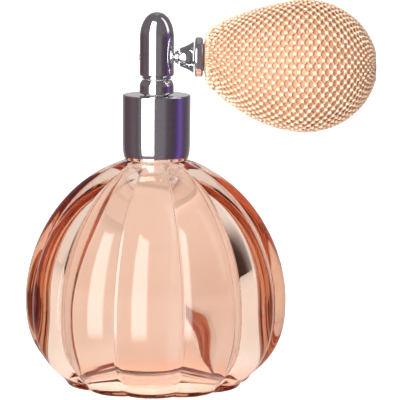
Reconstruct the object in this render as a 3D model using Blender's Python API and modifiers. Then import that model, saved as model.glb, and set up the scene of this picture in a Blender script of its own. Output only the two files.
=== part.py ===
"""Perfume bottle: a lobed glass bottle with a squeeze-bulb atomizer head.

The bottle's axis is Z, its base stands on z = 0, and the bulb points along +X.
Sizes below are in millimetres; the mesh functions turn them into metres.
Turned pieces are profiles of (radius, height), listed down the outer side and
then up the inner side.
"""
import math

import bmesh
import bpy
from mathutils import Matrix, Vector

MM = 0.001
MERGE = 0.00002
GAP = 0.3

# Glass bottle
LOBES = 12
STEPS_PER_LOBE = 4
LOBE_START = math.radians(-17.0 - 90.0)
GROOVE_RATIO = 0.932
GLASS_MIDDLE = 25.3
GLASS_GLOBE = (39.4, 43.45, 1.85, 31.1, 2.6)
HOLLOW_GLOBE = (31.5, 38.2, 2.0, 25.4, 4.6)
FOOT_RADIUS = 25.0
SHOULDER_RADIUS = 9.3
SHOULDER_HEIGHT = 67.0
CAVITY_FLOOR = 3.0
CAVITY_TOP = 61.5
NECK_RADIUS = 6.6
BORE_RADIUS = 5.0
NECK_TOP = 78.0

# Screw thread between the neck and the closure
THREAD_PITCH = 2.4
THREAD_TURNS = 1.5
THREAD_BEAD = 0.45
NECK_THREAD_RADIUS = NECK_RADIUS + 0.15
NUT_BORE = 7.65
NUT_THREAD_RADIUS = NUT_BORE - 0.05
THREAD_BOTTOM = 71.6

# Closure
COLLAR_TOP = 87.1
COLLAR_BOTTOM = 67.6
COLLAR_RADIUS = 10.2
COLLAR_WALL = 0.5
COLLAR_HOLE = 3.9
NUT_RADIUS = 9.3
NUT_BOTTOM = 70.2
WEB_BOTTOM = 81.5
WEB_TOP = 83.4

# Stem and dip tube
GASKET_BOTTOM = NECK_TOP + GAP
GASKET_TOP = GASKET_BOTTOM + 1.0
FLANGE_BOTTOM = GASKET_TOP + GAP
FLANGE_TOP = FLANGE_BOTTOM + 1.5
FLANGE_RADIUS = 6.3
STEM_RADIUS = 3.3
STEM_TOP = 95.6
STEM_BORE = 0.9
STEM_BORE_END = 83.8
SOCKET_END = 84.5
VENT_RADIUS = 0.45
VENT_PLACE = -2.1
TUBE_RADIUS = 0.9
TUBE_WALL = 0.3
TUBE_PLACE = 1.7
TUBE_TOP = SOCKET_END - GAP
TUBE_BEND = 71.0
TUBE_END = 8.6
TUBE_REACH = 6.8

# Chrome head
RING_RADIUS = 5.15
RING_BOTTOM = COLLAR_TOP + GAP
RING_TOP = 91.6
GROOVE_RADIUS = 4.4
HEAD_RADIUS = 5.15
HEAD_BOTTOM = RING_TOP + GAP
HEAD_TOP = 111.7
HEAD_WALL = 0.65
OGIVE_HEIGHT = 7.8
CORE_RADIUS = 4.2
CORE_BOTTOM = 96.2
CORE_TOP = 102.6

# Bulb line: a horizontal axis through the head, heights counted from the head's axis
LINE_HEIGHT = 98.3
STUB_START = 2.9
STUB_RING = (5.9, 6.5)
STUB_END = 9.6
STUB_TUBE = 1.15
STUB_BORE = 0.65
FLARE = (6.8, 11.0)
RIM = (11.3, 13.8)
RIM_RADIUS = 6.0
SPIGOT = (10.0, 18.6)
SPIGOT_TUBE = 2.0
BALL_RADIUS = 1.1
BALL_PLACE = 16.7
BULB_START = 10.2
BULB_WIDEST = 44.1
BULB_END = 65.4
BULB_RADIUS = 19.75
BULB_DROP = 2.35
BULB_DROP_START = 15.4
BULB_DROP_END = 38.0
NET_THICKNESS = 0.9
RUBBER = 1.5
NET_START = 15.2
NET_HOLE = 4.0
NECK_OUTER = 4.1
NECK_BORE = 2.8
VALVE_NECK = 1.9
BULB_STEPS = 28

COLOURS = {
    "glass": ((0.95, 0.74, 0.64), 0.03, 0.0),
    "chrome": ((0.82, 0.82, 0.84), 0.06, 1.0),
    "white_plastic": ((0.86, 0.85, 0.82), 0.4, 0.0),
    "clear_plastic": ((0.88, 0.90, 0.92), 0.2, 0.0),
    "rubber": ((0.80, 0.56, 0.43), 0.55, 0.0),
    "black_rubber": ((0.05, 0.05, 0.05), 0.6, 0.0),
    "net_thread": ((0.90, 0.66, 0.50), 0.8, 0.0),
    "steel": ((0.62, 0.62, 0.64), 0.2, 1.0),
}


def collection(name):
    made = bpy.data.collections.new(name)
    bpy.context.scene.collection.children.link(made)
    return made


def material(name):
    found = bpy.data.materials.get(name)
    if found:
        return found
    colour, roughness, metallic = COLOURS[name]
    made = bpy.data.materials.new(name)
    made.use_nodes = True
    shader = made.node_tree.nodes["Principled BSDF"]
    shader.inputs["Base Color"].default_value = (*colour, 1.0)
    shader.inputs["Roughness"].default_value = roughness
    shader.inputs["Metallic"].default_value = metallic
    return made


def add_object(name, mesh, slot, parent=None):
    made = bpy.data.objects.new(name, mesh)
    mesh.materials.append(material(slot))
    PARTS.objects.link(made)
    made.parent = parent
    return made


def axis_empty(name, height, turned_to_x=False):
    """An empty on a joint's axis; the bulb line's empty lays the local Z along +X."""
    made = bpy.data.objects.new(name, None)
    made.location = (0.0, 0.0, height * MM)
    if turned_to_x:
        made.rotation_euler = (0.0, math.radians(90.0), 0.0)
    PARTS.objects.link(made)
    return made


def outline(name, profile):
    """The profile as a mesh of edges. It is closed unless both its ends are on the axis."""
    mesh = bpy.data.meshes.new(name)
    shape = bmesh.new()
    points = [shape.verts.new((radius * MM, 0.0, height * MM)) for radius, height in profile]
    for first, second in zip(points, points[1:]):
        shape.edges.new((first, second))
    if profile[0][0] > 0 or profile[-1][0] > 0:
        shape.edges.new((points[-1], points[0]))
    shape.to_mesh(mesh)
    shape.free()
    return mesh


def spun(name, profile, steps, slot, parent=None):
    """A turned solid: the profile with a Screw modifier about the local Z axis."""
    made = add_object(name, outline(name, profile), slot, parent)
    screw = made.modifiers.new("Screw", "SCREW")
    screw.steps = steps
    screw.render_steps = steps
    screw.use_merge_vertices = True
    screw.merge_threshold = MERGE
    screw.use_smooth_shade = True
    return made


def applied(made):
    """Replaces the object's mesh by its evaluated one, without modifiers."""
    bpy.context.view_layer.update()
    graph = bpy.context.evaluated_depsgraph_get()
    mesh = bpy.data.meshes.new_from_object(made.evaluated_get(graph))
    made.modifiers.clear()
    made.data = mesh
    return made


def cutter(name, radius, start, end, direction, sides=16):
    """A cylinder to cut a bore from start to end along direction."""
    mesh = bpy.data.meshes.new(name)
    shape = bmesh.new()
    span = Vector(end) - Vector(start)
    bmesh.ops.create_cone(
        shape, cap_ends=True, segments=sides, radius1=radius * MM, radius2=radius * MM,
        depth=span.length * MM,
    )
    shape.to_mesh(mesh)
    shape.free()
    made = bpy.data.objects.new(name, mesh)
    made.rotation_euler = Vector(direction).to_track_quat("Z", "Y").to_euler()
    made.location = (Vector(start) + Vector(end)) * 0.5 * MM
    made.hide_render = True
    made.display_type = "WIRE"
    CUTTERS.objects.link(made)
    return made


def boolean(made, tool, operation="DIFFERENCE"):
    step = made.modifiers.new(tool.name, "BOOLEAN")
    step.operation = operation
    step.solver = "EXACT"
    step.object = tool
    return made


def helix_bead(name, radius, bottom, turns):
    """A round bead along a helix, as a mesh with closed ends, for a thread."""
    steps_per_turn = 20
    count = int(turns * steps_per_turn) + 1
    curve = bpy.data.curves.new(name, "CURVE")
    curve.dimensions = "3D"
    curve.bevel_depth = THREAD_BEAD * MM
    curve.bevel_resolution = 1
    curve.use_fill_caps = True
    line = curve.splines.new("POLY")
    line.points.add(count - 1)
    for number, point in enumerate(line.points):
        turn = number / steps_per_turn
        angle = turn * math.tau
        height = bottom + turn * THREAD_PITCH
        point.co = (
            radius * MM * math.cos(angle), radius * MM * math.sin(angle), height * MM, 1.0
        )
    wire = bpy.data.objects.new(name + "_wire", curve)
    CUTTERS.objects.link(wire)
    bpy.context.view_layer.update()
    graph = bpy.context.evaluated_depsgraph_get()
    mesh = bpy.data.meshes.new_from_object(wire.evaluated_get(graph))
    shape = bmesh.new()
    shape.from_mesh(mesh)
    bmesh.ops.remove_doubles(shape, verts=shape.verts, dist=MERGE)
    bmesh.ops.recalc_face_normals(shape, faces=shape.faces)
    shape.to_mesh(mesh)
    shape.free()
    made = bpy.data.objects.new(name, mesh)
    made.matrix_world = wire.matrix_world
    made.hide_render = True
    made.display_type = "WIRE"
    CUTTERS.objects.link(made)
    bpy.data.objects.remove(wire)
    return made


def globe_radius(height, globe):
    """The radius of a globe at a height: its greatest radius, then the reach and the
    fullness of its upper half and of its lower half. A fullness of 2 is an ellipse."""
    radius, upper, upper_fullness, lower, lower_fullness = globe
    above = height > GLASS_MIDDLE
    reach, fullness = (upper, upper_fullness) if above else (lower, lower_fullness)
    share = min(1.0, abs(height - GLASS_MIDDLE) / reach)
    return radius * math.sqrt(1.0 - share ** fullness)


def globe_points(bottom, top, count, globe):
    """Points up a globe's side, closer together where it curves inward."""
    points = []
    for number in range(count):
        share = number / (count - 1)
        height = bottom + (top - bottom) * (1.0 - math.cos(math.pi * share)) / 2.0
        points.append((globe_radius(height, globe), height))
    return points


def flute(made):
    """Presses the grooves between the lobes into the globe's outer side."""
    for vertex in made.data.vertices:
        x, y, z = (value / MM for value in vertex.co)
        radius = math.hypot(x, y)
        wall = globe_radius(z, GLASS_GLOBE)
        if radius < SHOULDER_RADIUS - 0.1 or radius < wall - 1.5:
            continue
        across = ((math.atan2(y, x) - LOBE_START) * LOBES / math.tau) % 1.0
        crown = 1.0 - (2.0 * across - 1.0) ** 2
        fade = min(1.0, (radius - SHOULDER_RADIUS) / 12.0) if z > GLASS_MIDDLE else 1.0
        if z < 0.5:
            fade = 0.6
        factor = 1.0 - (1.0 - GROOVE_RATIO) * (1.0 - crown) * max(0.0, fade)
        vertex.co.x *= factor
        vertex.co.y *= factor


def glass_bottle():
    inside = [(0.0, CAVITY_FLOOR)] + globe_points(CAVITY_FLOOR, CAVITY_TOP, 9, HOLLOW_GLOBE)[:-1]
    bore = [(BORE_RADIUS, CAVITY_TOP + 2.0), (BORE_RADIUS, NECK_TOP)]
    neck = [(NECK_RADIUS - 0.5, NECK_TOP), (NECK_RADIUS, NECK_TOP - 0.5), (NECK_RADIUS, 69.0)]
    root = [(7.1, 68.0), (SHOULDER_RADIUS - 1.1, SHOULDER_HEIGHT + 0.3)]
    outside = globe_points(2.4, SHOULDER_HEIGHT, 13, GLASS_GLOBE)[::-1]
    foot = [(FOOT_RADIUS + 3.5, 0.9), (FOOT_RADIUS + 2.3, 0.2), (FOOT_RADIUS, 0.0), (0.0, 0.0)]
    profile = inside + bore + neck + root + outside + foot
    made = applied(spun("glass_bottle", profile, LOBES * STEPS_PER_LOBE, "glass"))
    made.data.transform(Matrix.Rotation(LOBE_START, 4, "Z"))
    flute(made)
    thread = helix_bead(
        "neck_thread", NECK_THREAD_RADIUS, THREAD_BOTTOM + THREAD_PITCH / 2, THREAD_TURNS
    )
    return boolean(made, thread, "UNION")


def collar_shell():
    top, bottom, wall = COLLAR_TOP, COLLAR_BOTTOM, COLLAR_WALL
    outer = [
        (COLLAR_HOLE, top), (COLLAR_RADIUS - 0.35, top), (COLLAR_RADIUS, top - 0.35),
        (COLLAR_RADIUS - 0.1, bottom + 4.0), (COLLAR_RADIUS - 0.25, bottom + 2.0),
        (COLLAR_RADIUS - 0.5, bottom + 0.8), (COLLAR_RADIUS - 0.95, bottom),
    ]
    inner = [
        (COLLAR_RADIUS - 0.95 - wall, bottom), (COLLAR_RADIUS - 0.5 - wall, bottom + 1.2),
        (COLLAR_RADIUS - 0.2 - wall, bottom + 3.0), (COLLAR_RADIUS - 0.1 - wall, top - wall - 0.1),
        (COLLAR_HOLE, top - wall - 0.1),
    ]
    return spun("collar_shell", outer + inner, 36, "chrome", CLOSURE_AXIS)


def closure_nut():
    profile = [
        (COLLAR_HOLE, WEB_TOP), (NUT_RADIUS - 0.4, WEB_TOP), (NUT_RADIUS, WEB_TOP - 0.4),
        (NUT_RADIUS, NUT_BOTTOM + 1.0), (NUT_RADIUS - 0.4, NUT_BOTTOM), (NUT_BORE, NUT_BOTTOM),
        (NUT_BORE, WEB_BOTTOM), (COLLAR_HOLE, WEB_BOTTOM),
    ]
    made = spun("closure_nut", profile, 30, "white_plastic", CLOSURE_AXIS)
    thread = helix_bead("nut_thread", NUT_THREAD_RADIUS, THREAD_BOTTOM, THREAD_TURNS)
    return boolean(made, thread, "UNION")


def neck_gasket():
    profile = [(6.9, GASKET_TOP), (6.9, GASKET_BOTTOM), (5.2, GASKET_BOTTOM), (5.2, GASKET_TOP)]
    return spun("neck_gasket", profile, 24, "black_rubber", HEAD_AXIS)


def spray_stem():
    """The feed bore is central; below it, the dip tube's socket leaves room for an air vent."""
    profile = [
        (0.0, STEM_BORE_END), (STEM_BORE, STEM_BORE_END), (STEM_BORE, STEM_TOP),
        (STEM_RADIUS - 0.3, STEM_TOP), (STEM_RADIUS, STEM_TOP - 0.3), (STEM_RADIUS, FLANGE_TOP),
        (FLANGE_RADIUS, FLANGE_TOP), (FLANGE_RADIUS, FLANGE_BOTTOM), (0.0, FLANGE_BOTTOM),
    ]
    made = spun("spray_stem", profile, 24, "white_plastic", HEAD_AXIS)
    socket = cutter(
        "tube_socket", TUBE_RADIUS + GAP, (TUBE_PLACE, 0, FLANGE_BOTTOM - 1.0),
        (TUBE_PLACE, 0, SOCKET_END), (0, 0, 1), 12,
    )
    vent = cutter(
        "air_vent", VENT_RADIUS, (VENT_PLACE, 0, FLANGE_BOTTOM - 1.0),
        (VENT_PLACE, 0, STEM_TOP + 1.0), (0, 0, 1), 8,
    )
    return boolean(boolean(made, socket), vent)


def tube_path(count):
    """The dip tube's centre line: straight out of the stem, then bent towards +X."""
    points = []
    for number in range(count):
        height = TUBE_TOP + (TUBE_END - TUBE_TOP) * number / (count - 1)
        below = max(0.0, (TUBE_BEND - height) / (TUBE_BEND - TUBE_END))
        points.append((TUBE_PLACE + TUBE_REACH * math.sin(below * math.pi / 2.0), 0.0, height))
    return points


def dip_tube():
    curve = bpy.data.curves.new("dip_tube", "CURVE")
    curve.dimensions = "3D"
    curve.bevel_depth = TUBE_RADIUS * MM
    curve.bevel_resolution = 2
    curve.use_fill_caps = False
    points = tube_path(18)
    line = curve.splines.new("POLY")
    line.points.add(len(points) - 1)
    for point, place in zip(line.points, points):
        point.co = (*(value * MM for value in place), 1.0)
    wire = bpy.data.objects.new("dip_tube_wire", curve)
    CUTTERS.objects.link(wire)
    bpy.context.view_layer.update()
    graph = bpy.context.evaluated_depsgraph_get()
    mesh = bpy.data.meshes.new_from_object(wire.evaluated_get(graph))
    made = add_object("dip_tube", mesh, "clear_plastic", HEAD_AXIS)
    bpy.data.objects.remove(wire)
    wall = made.modifiers.new("Wall", "SOLIDIFY")
    wall.thickness = TUBE_WALL * MM
    wall.offset = -1.0
    return made


def base_ring():
    profile = [
        (GROOVE_RADIUS, RING_TOP), (RING_RADIUS, RING_TOP - 1.6), (RING_RADIUS, RING_BOTTOM + 0.2),
        (RING_RADIUS - 0.2, RING_BOTTOM), (STEM_RADIUS + GAP, RING_BOTTOM), (STEM_RADIUS + GAP, RING_TOP),
    ]
    return spun("base_ring", profile, 32, "chrome", HEAD_AXIS)


def ogive(radius, top, height, count):
    """Points down a rounded bullet nose, from its tip to its full radius."""
    points = []
    for number in range(count):
        angle = math.pi / 2.0 * number / (count - 1)
        points.append((radius * math.sin(angle) ** 0.9, top - height * (1.0 - math.cos(angle))))
    return points


def head_shell():
    bore = STEM_RADIUS + GAP
    inner_radius = HEAD_RADIUS - HEAD_WALL
    outer = ogive(HEAD_RADIUS, HEAD_TOP, OGIVE_HEIGHT, 7)
    outer += [(HEAD_RADIUS, HEAD_BOTTOM + 1.2), (GROOVE_RADIUS, HEAD_BOTTOM + 0.6), (GROOVE_RADIUS, HEAD_BOTTOM)]
    inner = [(bore, HEAD_BOTTOM), (bore, HEAD_BOTTOM + 1.7), (inner_radius, HEAD_BOTTOM + 2.4)]
    inner += ogive(inner_radius, HEAD_TOP - HEAD_WALL, OGIVE_HEIGHT, 6)[::-1]
    made = spun("head_shell", outer + inner, 32, "chrome", SPRAY_AXIS)
    inlet = cutter(
        "inlet_hole", STUB_TUBE + GAP, (3.0, 0, LINE_HEIGHT), (7.0, 0, LINE_HEIGHT), (1, 0, 0)
    )
    nozzle = cutter(
        "nozzle_hole", 1.1 + GAP, (-7.0, 0, LINE_HEIGHT), (-3.0, 0, LINE_HEIGHT), (1, 0, 0)
    )
    return boolean(boolean(made, inlet), nozzle)


def mixing_core():
    profile = [
        (0.0, CORE_TOP), (CORE_RADIUS - 0.4, CORE_TOP), (CORE_RADIUS, CORE_TOP - 0.4),
        (CORE_RADIUS, CORE_BOTTOM), (0.0, CORE_BOTTOM),
    ]
    made = spun("mixing_core", profile, 24, "white_plastic", SPRAY_AXIS)
    inlet = cutter(
        "core_inlet", STUB_TUBE + GAP, (1.4, 0, LINE_HEIGHT), (6.0, 0, LINE_HEIGHT), (1, 0, 0), 12
    )
    outlet = cutter(
        "core_outlet", 1.4, (-6.0, 0, LINE_HEIGHT), (1.6, 0, LINE_HEIGHT), (1, 0, 0), 12
    )
    feed = cutter("core_feed", 0.7, (0, 0, 95.0), (0, 0, LINE_HEIGHT), (0, 0, 1), 12)
    return boolean(boolean(boolean(made, inlet), outlet), feed)


def nozzle_insert():
    """Its heights run from its face, just below the head's wall, inward."""
    profile = [(1.1, 3.0), (1.1, 0.0), (0.8, -0.25), (0.3, -0.05), (0.3, 1.2), (0.6, 1.8), (0.6, 3.0)]
    made = spun("nozzle_insert", profile, 16, "chrome", BULB_LINE)
    made.location.z = -5.0 * MM
    return made


def inlet_stub():
    ring_start, ring_end = STUB_RING
    profile = [
        (STUB_TUBE, STUB_END), (STUB_BORE, STUB_END), (STUB_BORE, STUB_START), (STUB_TUBE, STUB_START),
        (STUB_TUBE, 5.45), (1.75, 5.45), (1.75, ring_start), (2.15, ring_start), (2.15, ring_end),
        (STUB_TUBE, ring_end),
    ]
    return spun("inlet_stub", profile[::-1], 20, "chrome", BULB_LINE)


def trumpet_flare():
    start, end = FLARE
    outer = [
        (4.9, end), (4.35, end - 0.65), (3.95, end - 1.3), (3.35, end - 2.5), (3.0, end - 3.5),
        (2.75, start + 0.1), (2.6, start),
    ]
    inner = [
        (STUB_TUBE + GAP, start), (STUB_TUBE + GAP, start + 0.9), (2.5, start + 1.0),
        (2.9, end - 2.4), (3.45, end - 1.2), (4.35, end),
    ]
    return spun("trumpet_flare", outer + inner, 28, "chrome", BULB_LINE)


def trumpet_rim():
    start, end = RIM
    half = (end - start) / 2.0
    outer = []
    for number in range(7):
        angle = math.pi / 2.0 - math.pi * number / 6
        outer.append((RIM_RADIUS - 0.9 + 0.9 * math.cos(angle), start + half + half * math.sin(angle)))
    inner = [(NECK_OUTER + GAP, start), (NECK_OUTER + GAP, end)]
    return spun("trumpet_rim", outer + inner, 32, "chrome", BULB_LINE)


def bulb_spigot():
    start, end = SPIGOT
    outer = [
        (SPIGOT_TUBE, end), (SPIGOT_TUBE + 0.45, end - 0.8), (SPIGOT_TUBE, end - 0.9),
        (SPIGOT_TUBE + 0.45, end - 2.2), (SPIGOT_TUBE, end - 2.3), (SPIGOT_TUBE, 12.0),
        (3.4, 12.0), (3.4, 11.2), (SPIGOT_TUBE, 11.2), (SPIGOT_TUBE, start),
    ]
    inner = [(0.7, start), (0.7, 15.0), (1.45, 15.0), (1.45, end)]
    return spun("bulb_spigot", outer + inner, 20, "white_plastic", BULB_LINE)


def outlet_valve_seat():
    profile = [(0.55, 19.9), (1.9, 19.9), (1.9, 18.95), (1.1, 18.95), (1.1, 17.95), (0.55, 17.95)]
    return spun("outlet_valve_seat", profile, 16, "white_plastic", BULB_LINE)


def outlet_check_ball():
    mesh = bpy.data.meshes.new("outlet_check_ball")
    shape = bmesh.new()
    bmesh.ops.create_uvsphere(shape, u_segments=14, v_segments=9, radius=BALL_RADIUS * MM)
    shape.to_mesh(mesh)
    shape.free()
    made = add_object("outlet_check_ball", mesh, "steel", BALL_AXIS)
    made.location.z = BALL_PLACE * MM
    return made


def bulb_clamp_ring():
    inside = NECK_OUTER + GAP
    profile = [(inside + 0.4, 15.2), (inside + 0.4, 14.1), (inside, 14.1), (inside, 15.2)]
    return spun("bulb_clamp_ring", profile, 24, "chrome", BULB_LINE)


def bulb_radius(place):
    """The net's outer radius along the bulb: a pear, full towards the tail."""
    if place < BULB_WIDEST:
        share = (BULB_WIDEST - place) / (BULB_WIDEST - BULB_START)
        return BULB_RADIUS * (1.0 - min(1.0, share) ** 1.62) ** 0.61
    share = (place - BULB_WIDEST) / (BULB_END - BULB_WIDEST)
    return BULB_RADIUS * math.sqrt(1.0 - min(1.0, share) ** 1.95)


def bulb_layer(inset, start, smallest, count=17):
    """Points from the tail to the neck, inset from the net's outside along its normal."""
    points = []
    for number in range(count):
        share = (1.0 - math.cos(math.pi * number / (count - 1))) / 2.0
        place = BULB_END - 0.05 - (BULB_END - BULB_START - 0.1) * share
        slope = (bulb_radius(place + 0.04) - bulb_radius(place - 0.04)) / 0.08
        length = math.hypot(1.0, slope)
        radius = bulb_radius(place) - inset / length
        place += inset * slope / length
        if place > start and radius > smallest:
            points.append((radius, place))
    return points


def bulb_drop(place):
    """How far the bulb's centre line hangs below the head's axis."""
    share = (place - BULB_DROP_START) / (BULB_DROP_END - BULB_DROP_START)
    return BULB_DROP * math.sin(math.pi / 2.0 * max(0.0, min(1.0, share)))


def drooped(made):
    """Lowers the bulb behind its stiff neck, as its weight does. Local +X is down."""
    applied(made)
    for vertex in made.data.vertices:
        vertex.co.x += bulb_drop(vertex.co.z / MM) * MM
    return made


def bulb_bladder():
    outer_inset = NET_THICKNESS + 0.4
    outer = bulb_layer(outer_inset, 16.4, 2.7)
    inner = bulb_layer(outer_inset + RUBBER, 17.4, 2.7)
    tail = [(VALVE_NECK + GAP, outer[0][1] + 0.15)]
    neck = [(NECK_OUTER, 15.7), (NECK_OUTER, 12.4), (NECK_BORE, 12.4), (NECK_BORE, 16.6)]
    tail_inside = [(VALVE_NECK + GAP, inner[0][1] + 0.15)]
    profile = tail + outer + neck + inner[::-1] + tail_inside
    return drooped(spun("bulb_bladder", profile, BULB_STEPS, "rubber", BULB_LINE))


def bulb_net():
    outer = bulb_layer(0.0, NET_START + 0.2, NET_HOLE + 0.2)
    inner = bulb_layer(NET_THICKNESS, NET_START + 0.9, NET_HOLE + 0.2)
    tail = [(NET_HOLE, outer[0][1] + 0.1)]
    tail_inside = [(NET_HOLE, inner[0][1] + 0.1)]
    mouth = bulb_radius(NET_START)
    neck = [(mouth, NET_START), (mouth - 0.8, NET_START + 0.3)]
    profile = tail + outer + neck + inner[::-1] + tail_inside
    return drooped(spun("bulb_net", profile, BULB_STEPS, "net_thread", BULB_LINE))


def ring_of(name, major, minor, height, slot, parent):
    """A small round-section ring about the local Z axis."""
    sides = 8
    profile = []
    for number in range(sides):
        angle = math.pi / 2.0 - math.tau * number / sides
        profile.append((major + minor * math.cos(angle), height + minor * math.sin(angle)))
    return spun(name, profile, 24, slot, parent)


def net_gather_ring():
    return ring_of("net_gather_ring", 5.5, 0.3, 14.65, "net_thread", BULB_LINE)


def tail_net_ring():
    made = ring_of("tail_net_ring", 3.3, 0.3, BULB_END - 0.5, "net_thread", TAIL_AXIS)
    made.location.x = BULB_DROP * MM
    return made


def swivel_seal():
    return ring_of("swivel_seal", 3.8, 0.38, 94.7, "black_rubber", SPRAY_AXIS)


def tail_valve_body():
    place = BULB_END
    outer = [
        (1.5, place), (2.6, place - 0.2), (2.6, place - 0.9), (VALVE_NECK, place - 1.1), (VALVE_NECK, place - 3.6),
        (2.6, place - 3.9), (2.3, place - 4.6),
    ]
    inner = [(0.7, place - 4.6), (0.7, place)]
    made = spun("tail_valve_body", outer + inner, 20, "white_plastic", TAIL_AXIS)
    made.location.x = BULB_DROP * MM
    return made


def intake_flap():
    place = BULB_END - 4.9
    profile = [(0.0, place), (1.8, place), (1.8, place - 0.5), (0.0, place - 0.5)]
    made = spun("intake_flap", profile, 16, "black_rubber", TAIL_AXIS)
    made.location.x = BULB_DROP * MM
    return made


for old in list(bpy.data.objects):
    bpy.data.objects.remove(old)
PARTS = collection("perfume_bottle")
CUTTERS = collection("cutters")
CLOSURE_AXIS = axis_empty("closure_axis", 0.0)
HEAD_AXIS = axis_empty("head_axis", 0.0)
SPRAY_AXIS = axis_empty("spray_axis", 0.0)
BULB_LINE = axis_empty("bulb_line", LINE_HEIGHT, turned_to_x=True)
BALL_AXIS = axis_empty("ball_axis", LINE_HEIGHT, turned_to_x=True)
TAIL_AXIS = axis_empty("tail_axis", LINE_HEIGHT, turned_to_x=True)

for build in (
    glass_bottle, collar_shell, closure_nut, neck_gasket, spray_stem, dip_tube, base_ring,
    head_shell, mixing_core, nozzle_insert, swivel_seal, inlet_stub, trumpet_flare, trumpet_rim,
    bulb_spigot, outlet_valve_seat, outlet_check_ball, bulb_clamp_ring, bulb_bladder, bulb_net,
    net_gather_ring, tail_net_ring, tail_valve_body, intake_flap,
):
    build()
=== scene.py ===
import math
import random

import bmesh
import bpy
import numpy as np
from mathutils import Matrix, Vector

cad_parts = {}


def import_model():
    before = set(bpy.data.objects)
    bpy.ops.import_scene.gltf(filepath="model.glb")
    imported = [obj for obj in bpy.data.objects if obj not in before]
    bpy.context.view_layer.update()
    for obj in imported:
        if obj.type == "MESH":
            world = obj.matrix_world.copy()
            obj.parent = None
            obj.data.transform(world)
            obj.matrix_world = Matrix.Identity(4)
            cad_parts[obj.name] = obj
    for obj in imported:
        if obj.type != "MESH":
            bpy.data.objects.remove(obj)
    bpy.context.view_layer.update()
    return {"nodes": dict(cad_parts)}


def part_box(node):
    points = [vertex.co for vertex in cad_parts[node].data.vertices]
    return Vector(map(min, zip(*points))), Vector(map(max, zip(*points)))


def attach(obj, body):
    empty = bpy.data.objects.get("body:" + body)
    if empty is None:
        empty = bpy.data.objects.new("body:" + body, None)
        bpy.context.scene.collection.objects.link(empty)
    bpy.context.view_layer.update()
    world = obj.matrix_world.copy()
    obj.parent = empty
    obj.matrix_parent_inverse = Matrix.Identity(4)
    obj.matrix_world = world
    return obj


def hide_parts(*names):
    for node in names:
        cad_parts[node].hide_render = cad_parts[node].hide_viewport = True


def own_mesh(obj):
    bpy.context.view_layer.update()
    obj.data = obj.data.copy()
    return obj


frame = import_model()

# The looks of a lobed glass perfume bottle with a squeeze-bulb atomizer.
# Lengths are in metres, in the frame's own axes: +Z up, +X towards the bulb.
MM = 0.001
random.seed(7)

GLASS_LOW, GLASS_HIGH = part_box("glass_bottle")
RIM_LOW, RIM_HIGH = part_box("trumpet_rim")

# Glass: the same driving sizes as the CAD solid. A globe is its radius at MIDDLE, then the
# height and the fullness of the half above MIDDLE, then those of the half below.
LOBES = 12
LOBE_START = math.radians(-107.0)
LOBE_ARC = 13.4 * MM
COLUMNS_PER_LOBE = 18
MIDDLE = 25.3 * MM
OUTER_GLOBE = (39.4 * MM, 43.45 * MM, 1.85, 31.1 * MM, 2.6)
INNER_GLOBE = (31.5 * MM, 38.2 * MM, 2.0, 25.4 * MM, 4.6)
GLOBE_BOTTOM = 2.4 * MM
GLOBE_TOP = 67.0 * MM
HOLLOW_BOTTOM = 3.2 * MM
HOLLOW_TOP = 61.5 * MM
HOLLOW_LOBING = 0.12
COAT_REACH = 1.2 * MM
CREST = OUTER_GLOBE[0]
NECK_TOP = GLASS_HIGH[2]
THREAD_BOTTOM = 72.8 * MM
THREAD_PITCH = 2.4 * MM
THREAD_TURNS = 1.5
THREAD_BEAD = 0.5 * MM

# Chrome: the spray head's bullet shape
HEAD_TIP = 111.7
HEAD_RADIUS = 5.15
HEAD_WALL = 0.65
NOSE_HEIGHT = 7.8

# Bulb: its outline, and how its centre line hangs behind the stiff neck
BULB_START = 10.2 * MM
BULB_WIDEST = 44.1 * MM
BULB_END = 65.4 * MM
BULB_RADIUS = 19.75 * MM
BULB_AXIS = (RIM_LOW[2] + RIM_HIGH[2]) / 2.0
BULB_DROP = 2.35 * MM
DROP_START = 15.4 * MM
DROP_END = 38.0 * MM
BLADDER_DEPTH = 0.95 * MM

# Net: rings of crochet round the bulb, loose and uneven at its neck
NET_START = 14.6 * MM
HALF_ROWS = 68
STEPS_PER_HALF_ROW = 4
STITCH = 1.2 * MM
THREAD = 0.33 * MM
KNOT_SIZE = (0.60, 0.60, 0.46)
LOOSE_START = 14.0 * MM
LOOSE_END = 24.0 * MM

# Colours, as (red, green, blue) in linear light
OUTER_TINT = (0.99, 0.97, 0.955)
INNER_TINT = (0.945, 0.78, 0.69)
DEPTH_TINT = (0.80, 0.36, 0.05)
DEPTH_DENSITY = 36.0
SHADOW_TINT = (0.97, 0.90, 0.86)
CHROME_TONES = ((0.80, 0.80, 0.82), (0.88, 0.88, 0.89))
# Thread tones hold painted light and shade: the strands are darker as painted shade in the recesses, the
# knots paler as painted light on the raised stitches.
SHADED_STRAND_TONES = ((0.50, 0.25, 0.13), (0.60, 0.33, 0.19))
LIT_KNOT_TONES = ((0.72, 0.49, 0.35), (0.82, 0.60, 0.46))
# The rubber's own colour, made darker as painted shade where it shows in the net's gaps.
RUBBER_AND_SHADE_TONES = ((0.50, 0.26, 0.16), (0.60, 0.34, 0.22))
FLOOR_TONES = ((0.93, 0.93, 0.93), (0.95, 0.95, 0.95))

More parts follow.
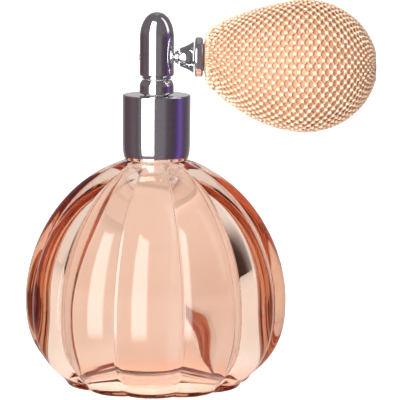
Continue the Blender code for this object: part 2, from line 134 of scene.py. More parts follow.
# Light: what the camera sees behind the object is white. STUDIO is what polished chrome
# mirrors, and BACKDROP what is seen through the glass: both as stops of (degrees, colour)
# round the compass, from the camera at 0, with the bulb's side at 90.
# The floor glows by its second value to the camera, and by its first to all else.
FLOOR_GLOW = (0.36, 0.85)
FLOOR_SIZE = 4.0
CAMERA_WHITE = (1.05, 1.05, 1.05)
SOFT_FILL = (0.14, 0.14, 0.14)
CEILING = (0.17, 0.15, 0.16)
STUDIO = [
    (-180, (0.90, 0.86, 0.86)), (-160, (0.45, 0.41, 0.42)), (-148, (0.28, 0.25, 0.27)),
    (-131, (0.10, 0.07, 0.085)), (-107, (0.13, 0.07, 0.085)), (-85, (0.15, 0.11, 0.125)),
    (-66, (0.12, 0.10, 0.11)), (-58, (0.20, 0.18, 0.19)), (-10, (0.30, 0.28, 0.29)),
    (-3, (0.21, 0.18, 0.20)), (26, (0.19, 0.17, 0.19)), (38, (0.11, 0.085, 0.10)),
    (60, (0.08, 0.055, 0.075)), (72, (0.09, 0.05, 0.15)), (88, (0.18, 0.10, 0.38)),
    (100, (0.13, 0.08, 0.22)), (108, (0.11, 0.07, 0.10)), (120, (0.11, 0.09, 0.11)),
    (140, (0.18, 0.15, 0.17)), (160, (0.45, 0.41, 0.42)), (180, (0.90, 0.86, 0.86)),
]
PALE = (0.98, 0.975, 0.97)
BACKDROP = [
    (-180, PALE), (-125, PALE), (-116, (0.06, 0.03, 0.02)), (-70, (0.06, 0.03, 0.02)),
    (-58, (0.80, 0.77, 0.75)), (38, (0.75, 0.72, 0.70)), (50, (0.02, 0.01, 0.008)),
    (115, (0.02, 0.01, 0.008)), (125, PALE), (180, PALE),
]
CAMERA_PLACE = (0.0132, -0.700, 0.164)
CAMERA_TARGET = (0.0132, 0.0, 0.0553)
CAMERA_ROLL = math.radians(0.46)
# Windows are (degrees, strength) round the compass, and (sine of the height, strength) up
WINDOW = [(-51, 0.0), (-46, 1.0), (-12, 1.0), (-6, 0.0)]
WINDOW_HEIGHT = [(-0.42, 0.0), (-0.27, 1.0), (0.76, 1.0), (0.79, 0.0)]
WINDOW_GLOW = (7.0, 7.0, 7.0)
SIDE_WINDOW = [(76, 0.0), (81, 1.0), (94, 1.0), (100, 0.0)]
SIDE_WINDOW_HEIGHT = [(0.10, 0.0), (0.22, 1.0), (0.86, 1.0), (0.92, 0.0)]
SIDE_WINDOW_GLOW = (1.3, 1.25, 1.35)


# ---------------------------------------------------------------- node helpers

def new_material(name):
    made = bpy.data.materials.new(name)
    made.use_nodes = True
    return made, made.node_tree.nodes, made.node_tree.links


def noise(nodes, links, scale, detail=3.0):
    made = nodes.new("ShaderNodeTexNoise")
    made.inputs["Scale"].default_value = scale
    made.inputs["Detail"].default_value = detail
    links.new(object_coordinates(nodes), made.inputs["Vector"])
    return made


def object_coordinates(nodes):
    for node in nodes:
        if node.type == "TEX_COORD":
            return node.outputs["Object"]
    return nodes.new("ShaderNodeTexCoord").outputs["Object"]


def mapped(nodes, links, source, low, high, from_low=0.3, from_high=0.7):
    made = nodes.new("ShaderNodeMapRange")
    made.inputs["From Min"].default_value = from_low
    made.inputs["From Max"].default_value = from_high
    made.inputs["To Min"].default_value = low
    made.inputs["To Max"].default_value = high
    links.new(source, made.inputs["Value"])
    return made.outputs["Result"]


def ramp(nodes, links, source, stops):
    made = nodes.new("ShaderNodeValToRGB")
    elements = made.color_ramp.elements
    while len(elements) < len(stops):
        elements.new(0.5)
    for element, (place, colour) in zip(elements, stops):
        element.position = place
        element.color = (*colour, 1.0)
    links.new(source, made.inputs["Fac"])
    return made.outputs["Color"]


def tones(nodes, links, source, pair, low=0.3, high=0.7):
    """A colour between the pair's two, along the source."""
    return ramp(nodes, links, source, [(low, pair[0]), (high, pair[1])])


def mixed(nodes, links, factor, first, second):
    """A colour that goes from first to second with the factor. Each is a socket or a colour."""
    made = nodes.new("ShaderNodeMix")
    made.data_type = "RGBA"
    links.new(factor, made.inputs["Factor"])
    for name, value in (("A", first), ("B", second)):
        if isinstance(value, tuple):
            made.inputs[name].default_value = (*value, 1.0)
        else:
            links.new(value, made.inputs[name])
    return made.outputs["Result"]


def arithmetic(nodes, links, operation, first, second):
    made = nodes.new("ShaderNodeMath")
    made.operation = operation
    for socket, value in zip(made.inputs, (first, second)):
        if isinstance(value, float):
            socket.default_value = value
        else:
            links.new(value, socket)
    return made.outputs[0]


def bump(nodes, links, height, strength, distance):
    made = nodes.new("ShaderNodeBump")
    made.inputs["Strength"].default_value = strength
    made.inputs["Distance"].default_value = distance
    links.new(height, made.inputs["Height"])
    return made.outputs["Normal"]


# ------------------------------------------------------------------- materials

def glass_material():
    """Peach glass, tinted in its depth and on the hollow's wall. Its shadows are clear."""
    made, nodes, links = new_material("peach_glass")
    shader = nodes["Principled BSDF"]
    shader.inputs["Transmission Weight"].default_value = 1.0
    shader.inputs["IOR"].default_value = 1.5
    inside = nodes.new("ShaderNodeAttribute")
    inside.attribute_name = "inside"
    coat = mixed(nodes, links, inside.outputs["Fac"], OUTER_TINT, INNER_TINT)
    links.new(coat, shader.inputs["Base Color"])
    smear = noise(nodes, links, 60.0, 2.0)
    links.new(mapped(nodes, links, smear.outputs["Fac"], 0.0, 0.012), shader.inputs["Roughness"])
    waves = noise(nodes, links, 45.0, 1.0)
    links.new(bump(nodes, links, waves.outputs["Fac"], 0.25, 0.0005), shader.inputs["Normal"])
    clear = nodes.new("ShaderNodeBsdfTransparent")
    clear.inputs["Color"].default_value = (*SHADOW_TINT, 1.0)
    path = nodes.new("ShaderNodeLightPath")
    mix = nodes.new("ShaderNodeMixShader")
    links.new(path.outputs["Is Shadow Ray"], mix.inputs["Fac"])
    links.new(shader.outputs["BSDF"], mix.inputs[1])
    links.new(clear.outputs["BSDF"], mix.inputs[2])
    output = nodes["Material Output"]
    links.new(mix.outputs["Shader"], output.inputs["Surface"])
    depth = nodes.new("ShaderNodeVolumeAbsorption")
    depth.inputs["Color"].default_value = (*DEPTH_TINT, 1.0)
    depth.inputs["Density"].default_value = DEPTH_DENSITY
    links.new(depth.outputs["Volume"], output.inputs["Volume"])
    return made


def chrome_material():
    made, nodes, links = new_material("bright_chrome")
    shader = nodes["Principled BSDF"]
    shader.inputs["Metallic"].default_value = 1.0
    haze = noise(nodes, links, 900.0, 4.0)
    links.new(mapped(nodes, links, haze.outputs["Fac"], 0.03, 0.075), shader.inputs["Roughness"])
    links.new(tones(nodes, links, haze.outputs["Fac"], CHROME_TONES), shader.inputs["Base Color"])
    return made


def plastic_material(name, pair, roughness, clear=0.0):
    made, nodes, links = new_material(name)
    shader = nodes["Principled BSDF"]
    grain = noise(nodes, links, 700.0, 3.0)
    links.new(tones(nodes, links, grain.outputs["Fac"], pair), shader.inputs["Base Color"])
    links.new(
        mapped(nodes, links, grain.outputs["Fac"], roughness, roughness + 0.12), shader.inputs["Roughness"]
    )
    links.new(bump(nodes, links, grain.outputs["Fac"], 0.1, 0.00005), shader.inputs["Normal"])
    shader.inputs["Transmission Weight"].default_value = clear
    return made


def thread_material():
    """Soft cotton: fine fuzz, and a warm uneven dye. Painted light makes the raised stitches paler, and
    painted shade darkens the sunken strands between them.
    """
    made, nodes, links = new_material("peach_thread")
    shader = nodes["Principled BSDF"]
    dye = noise(nodes, links, 260.0, 3.0)
    shaded_strand = tones(nodes, links, dye.outputs["Fac"], SHADED_STRAND_TONES, 0.25, 0.75)
    stitch = tones(nodes, links, dye.outputs["Fac"], LIT_KNOT_TONES, 0.25, 0.75)
    knot = nodes.new("ShaderNodeAttribute")
    knot.attribute_name = "knot"
    # Painted light and shade: the knots take the paler lit tone, the sunken strands the darker shaded one.
    tone = mixed(nodes, links, knot.outputs["Fac"], shaded_strand, stitch)
    links.new(tone, shader.inputs["Base Color"])
    shader.inputs["Roughness"].default_value = 0.62
    shader.inputs["Sheen Weight"].default_value = 0.08
    shader.inputs["Sheen Roughness"].default_value = 0.4
    shader.inputs["Subsurface Weight"].default_value = 0.15
    shader.inputs["Subsurface Radius"].default_value = (0.0012, 0.0006, 0.0003)
    shader.inputs["Subsurface Scale"].default_value = 1.0
    fuzz = noise(nodes, links, 5200.0, 4.0)
    links.new(bump(nodes, links, fuzz.outputs["Fac"], 0.5, 0.0001), shader.inputs["Normal"])
    return made


def rubber_material():
    made, nodes, links = new_material("peach_rubber")
    shader = nodes["Principled BSDF"]
    tone = noise(nodes, links, 150.0, 3.0)
    # The rubber's own colour, darkened as painted shade for the net's gaps.
    links.new(tones(nodes, links, tone.outputs["Fac"], RUBBER_AND_SHADE_TONES), shader.inputs["Base Color"])
    links.new(mapped(nodes, links, tone.outputs["Fac"], 0.4, 0.55), shader.inputs["Roughness"])
    pores = noise(nodes, links, 2500.0, 3.0)
    links.new(bump(nodes, links, pores.outputs["Fac"], 0.2, 0.00005), shader.inputs["Normal"])
    return made


# ---------------------------------------------------------------- mesh helpers

def add_mesh(name, points, faces, material, smooth=True):
    mesh = bpy.data.meshes.new(name)
    mesh.from_pydata([tuple(p) for p in points], [], faces)
    mesh.materials.append(material)
    if smooth:
        mesh.shade_smooth()
    made = bpy.data.objects.new(name, mesh)
    bpy.context.scene.collection.objects.link(made)
    return made


def grid_faces(rows, columns):
    """Quads of a grid that closes round its columns."""
    faces = []
    for row in range(rows - 1):
        for column in range(columns):
            after = (column + 1) % columns
            a, b = row * columns + column, row * columns + after
            faces.append((a, b, b + columns, a + columns))
    return faces


def filleted(profile, size):
    """The closed profile with each corner rounded over at most size."""
    made = []
    count = len(profile)
    corners = np.array(profile)
    for number in range(count):
        corner = corners[number]
        ends = []
        for other in (corners[number - 1], corners[(number + 1) % count]):
            length = np.linalg.norm(other - corner)
            ends.append(corner + (other - corner) / length * min(size, 0.45 * length))
        for share in (0.0, 0.25, 0.5, 0.75, 1.0):
            made.append(
                ends[0] * (1.0 - share) ** 2 + corner * 2.0 * share * (1.0 - share)
                + ends[1] * share ** 2
            )
    return made


def turned(name, profile, columns, material, centre=None, fillet=0.15 * MM, step=0.2 * MM):
    """A closed profile of (radius, place) turned about +Z, or about +X at a height."""
    rounded = filleted(profile, fillet)
    line = resampled(rounded + rounded[:1], step, 0)[:-1]
    angles = np.linspace(0.0, math.tau, columns, endpoint=False)
    points = []
    for radius, place in line:
        for angle in angles:
            across, up = radius * math.cos(angle), radius * math.sin(angle)
            points.append((across, up, place) if centre is None else (place, across, centre + up))
    rows = len(line)
    faces = grid_faces(rows, columns) + closing_faces(rows, columns)
    made = add_mesh(name, points, faces, material)
    fix_normals(made)
    return made


def closing_faces(rows, columns):
    """Quads from the last row of a grid back to its first."""
    last = (rows - 1) * columns
    afters = [(column + 1) % columns for column in range(columns)]
    return [(last + column, last + after, after, column) for column, after in enumerate(afters)]


def drilled(made, x, z, radius, reach):
    """A round hole along X through the piece, from x - reach to x + reach."""
    shape = bmesh.new()
    bmesh.ops.create_cone(
        shape, cap_ends=True, segments=48, radius1=radius, radius2=radius, depth=2.0 * reach
    )
    mesh = bpy.data.meshes.new("drill")
    shape.to_mesh(mesh)
    shape.free()
    tool = bpy.data.objects.new("drill", mesh)
    tool.rotation_euler = (0.0, math.radians(90.0), 0.0)
    tool.location = (x, 0.0, z)
    bpy.context.scene.collection.objects.link(tool)
    cut = made.modifiers.new("hole", "BOOLEAN")
    cut.solver = "EXACT"
    cut.object = tool
    bpy.context.view_layer.update()
    graph = bpy.context.evaluated_depsgraph_get()
    mesh = bpy.data.meshes.new_from_object(made.evaluated_get(graph))
    made.modifiers.clear()
    made.data = mesh
    bpy.data.objects.remove(tool)


def resampled(profile, step, passes):
    """The profile as even steps, with its corners eased. Its ends stay."""
    profile = np.array(profile)
    lengths = np.concatenate([[0.0], np.cumsum(np.linalg.norm(np.diff(profile, axis=0), axis=1))])
    count = int(lengths[-1] / step) + 1
    even = np.linspace(0.0, lengths[-1], count)
    line = np.stack([np.interp(even, lengths, profile[:, k]) for k in range(2)], axis=1)
    for _ in range(passes):
        line[1:-1] = line[1:-1] * 0.5 + (line[:-2] + line[2:]) * 0.25
    return line


def turned_about_bulb(name, profile, columns, material):
    """A closed profile of (radius, x) turned about the bulb's drooping centre line."""
    angles = np.linspace(0.0, math.tau, columns, endpoint=False)
    points = []
    for radius, x in profile:
        for angle in angles:
            points.append((x, radius * math.sin(angle), BULB_AXIS - drop(x) + radius * math.cos(angle)))
    faces = grid_faces(len(profile), columns) + closing_faces(len(profile), columns)
    made = add_mesh(name, points, faces, material)
    fix_normals(made)
    return made


def fix_normals(made):
    shape = bmesh.new()
    shape.from_mesh(made.data)
    bmesh.ops.recalc_face_normals(shape, faces=shape.faces)
    shape.to_mesh(made.data)
    shape.free()


def unit(vectors):
    return vectors / (np.linalg.norm(vectors, axis=1)[:, None] + 1e-12)


def add_ring(points, faces, path, radius, sides):
    """A closed thread round the bulb, along the path."""
    path = np.asarray(path)
    count = len(path)
    tangent = unit(np.roll(path, -1, axis=0) - np.roll(path, 1, axis=0))
    centre = path.copy()
    centre[:, 0] = 0.0
    centre[:, 2] -= BULB_AXIS - BULB_DROP
    outward = unit(centre)
    outward = unit(outward - tangent * np.sum(outward * tangent, axis=1)[:, None])
    across = np.cross(tangent, outward)
    start = len(points)
    for number in range(count):
        for side in range(sides):
            turn = math.tau * side / sides
            offset = outward[number] * math.cos(turn) + across[number] * math.sin(turn)
            points.append(path[number] + offset * radius)
    for number in range(count):
        here, after = start + number * sides, start + (number + 1) % count * sides
        for side in range(sides):
            beside = (side + 1) % sides
            faces.append((here + side, here + beside, after + beside, after + side))


def thread_mesh(name, paths, radii, sides, material, knots):
    """Rings of thread and their knots as one mesh, with the knots marked so the material paints them
    lighter, as painted light.
    """
    points, faces = [], []
    for path, radius in zip(paths, radii):
        add_ring(points, faces, path, radius, sides)
    strands = len(points)
    add_knots(points, faces, knots)
    made = add_mesh(name, points, faces, material)
    mark = made.data.attributes.new("knot", "FLOAT", "POINT")
    mark.data.foreach_set("value", [0.0] * strands + [1.0] * (len(points) - strands))
    fix_normals(made)
    return made


# ----------------------------------------------------------------------- glass

def lobe_factor(angle, share):
    """1 on a lobe's crest, less in its grooves: each lobe is a circular arc across."""
    half = math.pi / LOBES
    across = ((angle - LOBE_START) % (2.0 * half)) - half
    centre = CREST - LOBE_ARC
    along = centre * math.cos(across)
    radius = along + math.sqrt(max(0.0, along * along - centre * centre + LOBE_ARC * LOBE_ARC))
    return 1.0 - share * (1.0 - radius / CREST)


def globe_radius(height, globe):
    """A globe's radius at a height. A fullness of 2 is an ellipse."""
    radius, upper, upper_fullness, lower, lower_fullness = globe
    above = height > MIDDLE
    reach, fullness = (upper, upper_fullness) if above else (lower, lower_fullness)
    share = min(1.0, abs(height - MIDDLE) / reach)
    return radius * math.sqrt(1.0 - share ** fullness)


def eased(value, low, high):
    share = max(0.0, min(1.0, (value - low) / (high - low)))
    return share * share * (3.0 - 2.0 * share)


def outer_profile():
    """From the middle of the foot, round the globe, up to the neck's lip."""
    profile = [(0.0, 0.9 * MM), (13.0 * MM, 0.8 * MM), (18.5 * MM, 0.0), (25.2 * MM, 0.0)]
    profile += [(27.4 * MM, 0.25 * MM), (28.5 * MM, 0.9 * MM)]
    for height in np.linspace(GLOBE_BOTTOM, GLOBE_TOP, 90):
        profile.append((globe_radius(height, OUTER_GLOBE), height))
    profile += [(8.2 * MM, 67.4 * MM), (7.1 * MM, 68.1 * MM), (6.6 * MM, 69.2 * MM)]
    profile += [(6.6 * MM, NECK_TOP - 0.5 * MM), (6.1 * MM, NECK_TOP)]
    return resampled(profile, 0.55 * MM, 3)


def inner_profile():
    """From the lip down the bore, and round the hollow to the middle of its floor."""
    profile = [(5.2 * MM, NECK_TOP), (5.0 * MM, NECK_TOP - 0.4 * MM), (5.0 * MM, 65.0 * MM)]
    profile += [(6.2 * MM, 63.4 * MM)]
    for height in np.linspace(HOLLOW_TOP, HOLLOW_BOTTOM, 74):
        profile.append((globe_radius(height, INNER_GLOBE), height))
    profile += [(19.0 * MM, 2.6 * MM), (10.0 * MM, 2.8 * MM), (0.0, 3.0 * MM)]
    return resampled(profile, 0.7 * MM, 4)


def outer_lobing(radius, height):
    """How deep the lobes are: they fade out up the shoulder, and under the foot."""
    if height > MIDDLE:
        return eased(radius, 8.6 * MM, 15.0 * MM)
    return eased(radius, 6.0 * MM, 26.0 * MM)


def glass_bottle():
    outer, inner = outer_profile(), inner_profile()
    columns = LOBES * COLUMNS_PER_LOBE
    angles = LOBE_START + np.linspace(0.0, math.tau, columns, endpoint=False)
    points = []
    for radius, height in outer:
        share = outer_lobing(radius, height)
        on_neck = height > 71.0 * MM and radius > 6.3 * MM
        for angle in angles:
            reach = radius * lobe_factor(angle, share)
            if on_neck:
                reach += thread_bead(angle, height)
            points.append((reach * math.cos(angle), reach * math.sin(angle), height))
    for radius, height in inner:
        share = HOLLOW_LOBING * eased(radius, 8.0 * MM, 20.0 * MM)
        for angle in angles:
            reach = radius * lobe_factor(angle, share)
            points.append((reach * math.cos(angle), reach * math.sin(angle), height))
    made = add_mesh("lobed_glass", points, grid_faces(len(outer) + len(inner), columns), glass_material())
    shape = bmesh.new()
    shape.from_mesh(made.data)
    bmesh.ops.remove_doubles(shape, verts=shape.verts, dist=0.004 * MM)
    bmesh.ops.recalc_face_normals(shape, faces=shape.faces)
    shape.to_mesh(made.data)
    shape.free()
    mark_inside(made)
    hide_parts("glass_bottle")
    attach(made, "bottle")


def mark_inside(made):
    """An attribute that is 1 on the hollow's wall, where the tinted coat is, and 0 outside."""
    mesh = made.data
    mark = mesh.attributes.new("inside", "FLOAT", "POINT")
    for vertex in mesh.vertices:
        x, y, z = vertex.co
        radius = math.hypot(x, y)
        clear = z < 3.0 * MM or radius > globe_radius(z, INNER_GLOBE) + COAT_REACH
        on_neck = z > 62.0 * MM
        mark.data[vertex.index].value = 0.0 if clear or on_neck else 1.0


def thread_bead(angle, height):
    """How far the neck's screw thread stands out at a place on the neck."""
    best = 0.0
    for turn in range(math.ceil(THREAD_TURNS)):
        along = (angle % math.tau) / math.tau + turn
        if along <= THREAD_TURNS:
            away = abs(height - (THREAD_BOTTOM + THREAD_PITCH * along)) / THREAD_BEAD
            best = max(best, THREAD_BEAD * max(0.0, 1.0 - away * away))
    return best


# ------------------------------------------------------------------------ bulb

def bulb_radius(x):
    """The net's reference surface: pear-shaped, fuller towards the tail."""
    if x < BULB_WIDEST:
        share = min(1.0, (BULB_WIDEST - x) / (BULB_WIDEST - BULB_START))
        return BULB_RADIUS * (1.0 - share ** 1.62) ** 0.61
    share = min(1.0, (x - BULB_WIDEST) / (BULB_END - BULB_WIDEST))
    return BULB_RADIUS * math.sqrt(1.0 - share ** 1.95)


def drop(x):
    """How far the bulb's centre line hangs below the fitting's."""
    share = max(0.0, min(1.0, (x - DROP_START) / (DROP_END - DROP_START)))
    return BULB_DROP * math.sin(math.pi / 2.0 * share)


def on_bulb(x, angle, lift):
    """A point on the bulb, lift outside the net's reference surface."""
    radius = bulb_radius(x) + lift
    return (x, radius * math.sin(angle), BULB_AXIS - drop(x) + radius * math.cos(angle))


def bladder():
    """The rubber bulb: it swells out of the rim, close under the net all the way."""
    outer = [(4.1 * MM, 12.4 * MM), (4.1 * MM, 14.1 * MM), (5.0 * MM, 14.3 * MM), (5.9 * MM, 14.9 * MM)]
    for x in np.linspace(15.4 * MM, 64.3 * MM, 60):
        outer.append((bulb_radius(x) - BLADDER_DEPTH, x))
    outer += [(2.3 * MM, 64.75 * MM)]
    inner = [(2.3 * MM, 63.0 * MM), (9.0 * MM, 60.2 * MM), (15.5 * MM, 52.0 * MM), (16.6 * MM, 44.0 * MM)]
    inner += [(14.0 * MM, 32.0 * MM), (9.0 * MM, 23.0 * MM), (4.0 * MM, 17.6 * MM), (2.8 * MM, 16.4 * MM)]
    inner += [(2.8 * MM, 12.4 * MM)]
    made = turned_about_bulb("squeeze_bulb", outer + inner, 96, rubber_material())
    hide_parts("bulb_bladder")
    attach(made, "spray_head")
    squeezed(made)
    return made


def squeezed(made):
    """The soft piece gets a mesh of its own and is hidden from glossy rays, so the chrome stays neutral
    beside it.
    """
    made.visible_glossy = False
    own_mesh(made)


def net_places():
    """The x of each of the net's rings: even stitches along the bulb's side."""
    xs = np.linspace(NET_START, BULB_END - 0.05 * MM, 3000)
    radii = np.array([bulb_radius(x) for x in xs])
    length = np.concatenate([[0.0], np.cumsum(np.hypot(np.diff(xs), np.diff(radii)))])
    rings = int(length[-1] / STITCH)
    return [float(x) for x in np.interp(np.arange(rings) * STITCH, length, xs)] + [BULB_END]


def stitch_width(x):
    """The room for one stitch round the bulb, as a share of the room at its widest."""
    return bulb_radius(x) / BULB_RADIUS


def net():
    """Crocheted rings. Each bows towards the tail between its own knots, up to the next's."""
    places = net_places()
    paths, knots = [], []
    turn = math.tau / HALF_ROWS
    for ring in range(len(places) - 2):
        x, after = places[ring], places[ring + 1]
        width = stitch_width(x)
        loose = eased(x, LOOSE_END, LOOSE_START)
        path = []
        for half in range(HALF_ROWS):
            own = (half + ring) % 2 == 0
            for step in range(STEPS_PER_HALF_ROW):
                share = step / STEPS_PER_HALF_ROW
                if not own:
                    share = 1.0 - share
                bow = math.sin(share * math.pi / 2.0) ** 1.4
                angle = turn * (half + step / STEPS_PER_HALF_ROW)
                wander = random.gauss(0.0, 0.05 + 0.35 * loose) * STITCH
                lift = (-0.58 + 0.2 * abs(math.cos(share * math.pi))) * MM + random.gauss(0.0, 0.03) * MM
                path.append(on_bulb(max(NET_START, x + (after - x) * bow * 0.92 + wander), angle, lift))
            if own:
                knots.append((x, turn * half, width, loose))
        paths.append(path)
    radii = [THREAD * (0.55 + 0.45 * stitch_width(x)) for x in places[:len(paths)]]
    made = thread_mesh("crocheted_net", paths, radii, 6, thread_material(), knots)
    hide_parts("bulb_net")
    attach(made, "spray_head")
    squeezed(made)
    return made


def knot_shape():
    """A small ball's points and faces."""
    shape = bmesh.new()
    bmesh.ops.create_icosphere(shape, subdivisions=2, radius=1.0)
    points = np.array([v.co for v in shape.verts])
    faces = [tuple(v.index for v in f.verts) for f in shape.faces]
    shape.free()
    return points, faces


def add_knots(points, faces, knots):
    """Raised stitches on the net, each a little different."""
    shape, shape_faces = knot_shape()
    for x, angle, width, loose in knots:
        x += random.gauss(0.0, 0.05 + 0.25 * loose) * STITCH
        angle += random.gauss(0.0, 0.06) * math.tau / HALF_ROWS
        grown = random.uniform(0.9, 1.1)
        sizes = np.array(KNOT_SIZE) * (1.0, max(0.5, width), 1.0) * grown * MM
        centre = np.array(on_bulb(max(NET_START + 0.5 * MM, x), angle, -0.2 * MM))
        slope = (bulb_radius(x + 0.1 * MM) - bulb_radius(x - 0.1 * MM)) / (0.2 * MM)
        outward = np.array((-slope, math.sin(angle), math.cos(angle)))
        outward /= np.linalg.norm(outward)
        across = np.array((0.0, math.cos(angle), -math.sin(angle)))
        along = np.cross(across, outward)
        start = len(points)
        axes = np.stack([along, across, outward]) * sizes[:, None]
        points.extend(centre + shape @ axes)
        faces.extend(tuple(start + index for index in face) for face in shape_faces)


# --------------------------------------------------------------------- chrome

def metres(profile):
    """A profile in metres, from one in millimetres."""
    return [(radius * MM, place * MM) for radius, place in profile]


def stands_for(made, node, body):
    """The chrome piece takes its CAD node's place on a body."""
    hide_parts(node)
    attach(made, body)


def ogive(radius, top, height, count):
    """Points down a rounded bullet nose, from just off its tip to its full radius."""
    points = []
    for number in range(1, count):
        angle = math.pi / 2.0 * number / (count - 1)
        points.append((radius * math.sin(angle) ** 0.9, top - height * (1.0 - math.cos(angle))))
    return points


def collar(material):
    outer = [(3.9, 87.1), (10.2, 87.1), (10.15, 72.0), (10.02, 70.0), (9.8, 68.7), (9.35, 67.6)]
    inner = [(8.8, 67.6), (9.2, 68.8), (9.5, 70.6), (9.6, 86.5), (3.9, 86.5)]
    made = turned("polished_collar", metres(outer + inner), 144, material, fillet=0.35 * MM)
    stands_for(made, "collar_shell", "closure")


def neck_ring(material):
    profile = [(4.4, 91.6), (5.15, 90.1), (5.15, 87.4), (3.6, 87.4), (3.6, 91.6)]
    made = turned("polished_ring", metres(profile), 112, material, fillet=0.5 * MM, step=0.12 * MM)
    stands_for(made, "base_ring", "head")


def head(material):
    outer = [(0.02, HEAD_TIP)] + ogive(HEAD_RADIUS, HEAD_TIP, NOSE_HEIGHT, 28)
    outer += [(HEAD_RADIUS, 93.1), (4.95, 92.8), (4.4, 92.5), (4.4, 91.9)]
    inner_radius, inner_tip = HEAD_RADIUS - HEAD_WALL, HEAD_TIP - HEAD_WALL
    inner = [(3.6, 91.9), (3.6, 93.6), (inner_radius, 94.3)]
    inner += ogive(inner_radius, inner_tip, NOSE_HEIGHT, 28)[::-1] + [(0.02, inner_tip)]
    made = turned("polished_head", metres(outer + inner), 128, material, fillet=0.2 * MM, step=0.15 * MM)
    drilled(made, -5.0 * MM, BULB_AXIS, 1.4 * MM, 2.0 * MM)
    drilled(made, 5.0 * MM, BULB_AXIS, 1.45 * MM, 2.0 * MM)
    stands_for(made, "head_shell", "spray_head")


def bulb_line(name, node, profile, columns, material, fillet, step=0.1 * MM):
    """A turned piece on the bulb's line, in place of its CAD node."""
    made = turned(name, metres(profile), columns, material, BULB_AXIS, fillet, step)
    stands_for(made, node, "spray_head")


def bulb_fitting(material):
    """The nozzle, and the stub, the trumpet and its rim between the head and the bulb."""
    nozzle = [(1.1, -2.0), (1.1, -5.0), (0.8, -5.25), (0.3, -5.05), (0.3, -3.8), (0.6, -3.2), (0.6, -2.0)]
    bulb_line("spray_nozzle", "nozzle_insert", nozzle, 48, material, 0.1 * MM, 0.06 * MM)
    stub = [(1.15, 9.6), (1.15, 6.55), (2.0, 6.5), (2.2, 6.25), (2.0, 6.0), (1.75, 5.9), (1.75, 5.4)]
    stub += [(1.15, 5.4), (1.15, 2.9), (0.65, 2.9), (0.65, 9.6)]
    bulb_line("inlet_tube", "inlet_stub", stub, 64, material, 0.15 * MM)
    flare = [(4.9, 11.0), (4.35, 10.35), (3.95, 9.7), (3.35, 8.5), (3.0, 7.5), (2.75, 6.9), (2.55, 6.8)]
    flare += [(1.45, 6.8), (1.45, 7.7), (2.5, 7.8), (2.9, 8.6), (3.45, 9.8), (4.35, 11.0)]
    bulb_line("trumpet", "trumpet_flare", flare, 96, material, 0.3 * MM)
    rim = [(4.4, 11.3), (5.2, 11.3), (6.0, 11.55), (6.0, 13.55), (5.2, 13.8), (4.4, 13.8)]
    bulb_line("bulb_rim", "trumpet_rim", rim, 112, material, 0.35 * MM)


# ----------------------------------------------------------------------- stage

def floor():
    """A white light table: it glows a little, so it stays even up to the backdrop."""
    made, nodes, links = new_material("pale_floor")
    shader = nodes["Principled BSDF"]
    mottle = noise(nodes, links, 4.0, 2.0)
    links.new(tones(nodes, links, mottle.outputs["Fac"], FLOOR_TONES), shader.inputs["Base Color"])
    shader.inputs["Roughness"].default_value = 0.9
    shader.inputs["Specular IOR Level"].default_value = 0.1
    shader.inputs["Emission Color"].default_value = (1.0, 1.0, 1.0, 1.0)
    path = nodes.new("ShaderNodeLightPath")
    glow = mapped(nodes, links, path.outputs["Is Camera Ray"], FLOOR_GLOW[0], FLOOR_GLOW[1], 0.0, 1.0)
    links.new(glow, shader.inputs["Emission Strength"])
    corners = [(-1, -1), (1, -1), (1, 1), (-1, 1)]
    points = [(x * FLOOR_SIZE, y * FLOOR_SIZE, 0.0) for x, y in corners]
    plane = add_mesh("floor", points, [(0, 1, 2, 3)], made, smooth=False)
    plane.location.z = -0.0002
    plane.visible_glossy = False


def compass(stops):
    """Stops round the compass, as shares of a turn from the back."""
    return [((degrees + 180.0) / 360.0, colour) for degrees, colour in stops]


def grey(stops):
    return [(place, (value, value, value)) for place, value in stops]


def pane(nodes, links, share, height, across, up):
    """1 inside a window, given by stops round the compass and up the sky, and 0 outside."""
    wide = ramp(nodes, links, share, compass(grey(across)))
    tall = ramp(nodes, links, height, grey([((at + 1.0) / 2.0, value) for at, value in up]))
    return arithmetic(nodes, links, "MULTIPLY", wide, tall)


def world():
    """A white backdrop, and a studio with one bright window for what is polished."""
    made = bpy.data.worlds.new("studio")
    bpy.context.scene.world = made
    made.use_nodes = True
    nodes, links = made.node_tree.nodes, made.node_tree.links
    background = nodes["Background"]
    direction = nodes.new("ShaderNodeSeparateXYZ")
    links.new(nodes.new("ShaderNodeTexCoord").outputs["Generated"], direction.inputs["Vector"])
    x, y, z = (direction.outputs[axis] for axis in "XYZ")
    azimuth = arithmetic(nodes, links, "ARCTAN2", x, arithmetic(nodes, links, "MULTIPLY", y, -1.0))
    share = mapped(nodes, links, azimuth, 0.0, 1.0, -math.pi, math.pi)
    height = mapped(nodes, links, z, 0.0, 1.0, -1.0, 1.0)
    window = pane(nodes, links, share, height, WINDOW, WINDOW_HEIGHT)
    around = ramp(nodes, links, share, compass(STUDIO))
    lifted = mapped(nodes, links, z, 0.0, 0.8, -0.02, 0.2)
    around = mixed(nodes, links, lifted, around, CEILING)
    polished = mixed(nodes, links, window, around, WINDOW_GLOW)
    side = pane(nodes, links, share, height, SIDE_WINDOW, SIDE_WINDOW_HEIGHT)
    polished = mixed(nodes, links, side, polished, SIDE_WINDOW_GLOW)
    behind = ramp(nodes, links, share, compass(BACKDROP))
    overhead = mapped(nodes, links, z, 0.0, 1.0, 0.25, 0.5)
    behind = mixed(nodes, links, overhead, behind, PALE)
    path = nodes.new("ShaderNodeLightPath")
    seen = mixed(nodes, links, path.outputs["Is Transmission Ray"], polished, behind)
    soft = mixed(nodes, links, path.outputs["Is Diffuse Ray"], seen, SOFT_FILL)
    shown = mixed(nodes, links, path.outputs["Is Camera Ray"], soft, CAMERA_WHITE)
    links.new(shown, background.inputs["Color"])
    background.inputs["Strength"].default_value = 1.0


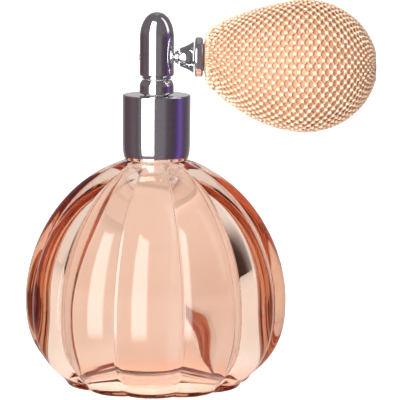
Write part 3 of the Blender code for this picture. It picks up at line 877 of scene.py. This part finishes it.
def area_light(name, place, target, size, power):
    """A square lamp that only lights: neither chrome nor glass shows it."""
    light = bpy.data.lights.new(name, "AREA")
    light.shape = "SQUARE"
    light.size = size
    light.energy = power
    made = bpy.data.objects.new(name, light)
    made.location = place
    made.rotation_euler = (Vector(target) - Vector(place)).to_track_quat("-Z", "Y").to_euler()
    made.visible_glossy = False
    made.visible_transmission = False
    bpy.context.scene.collection.objects.link(made)


def deep_glass():
    """Enough bounces for light to find its way out of thick glass."""
    cycles = bpy.context.scene.cycles
    cycles.max_bounces = 24
    cycles.glossy_bounces = 16
    cycles.transmission_bounces = 24


def camera():
    view = bpy.data.cameras.new("camera")
    view.lens = 212.0
    view.sensor_width = 36.0
    view.clip_start = 0.02
    view.clip_end = 50.0
    made = bpy.data.objects.new("camera", view)
    place, target = Vector(CAMERA_PLACE), Vector(CAMERA_TARGET)
    made.location = place
    aim = (target - place).to_track_quat("-Z", "Y").to_euler()
    aim.rotate_axis("Z", CAMERA_ROLL)
    made.rotation_euler = aim
    bpy.context.scene.collection.objects.link(made)
    bpy.context.scene.camera = made


def dress(node, material):
    made = frame["nodes"][node]
    if made.data.materials:
        made.data.materials[0] = material
    else:
        made.data.materials.append(material)


camera()
deep_glass()
floor()
world()
area_light("overhead", (0.0, -0.1, 1.2), (0.0, 0.0, 0.0), 1.0, 0.8)
area_light("key", (-0.35, -1.0, 0.35), (0.02, 0.0, 0.08), 0.5, 12.5)
area_light("behind", (0.5, 1.0, 0.30), (0.02, 0.0, 0.08), 0.6, 2.5)
bpy.context.scene.view_settings.view_transform = "Standard"

CHROME = chrome_material()
WHITE = plastic_material("natural_plastic", ((0.74, 0.72, 0.68), (0.80, 0.78, 0.74)), 0.35)
CLEAR = plastic_material("tube_plastic", ((0.90, 0.91, 0.92), (0.95, 0.96, 0.97)), 0.12, 0.8)
BLACK = plastic_material("seal_rubber", ((0.02, 0.02, 0.02), (0.04, 0.04, 0.04)), 0.5)

glass_bottle()
bladder()
net()
collar(CHROME)
neck_ring(CHROME)
head(CHROME)
bulb_fitting(CHROME)
for node in ("bulb_clamp_ring", "outlet_check_ball"):
    dress(node, CHROME)
for node in ("closure_nut", "spray_stem", "mixing_core"):
    dress(node, WHITE)
for node in ("bulb_spigot", "outlet_valve_seat", "tail_valve_body"):
    dress(node, WHITE)
for node in ("neck_gasket", "swivel_seal", "intake_flap"):
    dress(node, BLACK)
dress("dip_tube", CLEAR)
for node in ("net_gather_ring", "tail_net_ring"):
    dress(node, bpy.data.materials["peach_thread"])
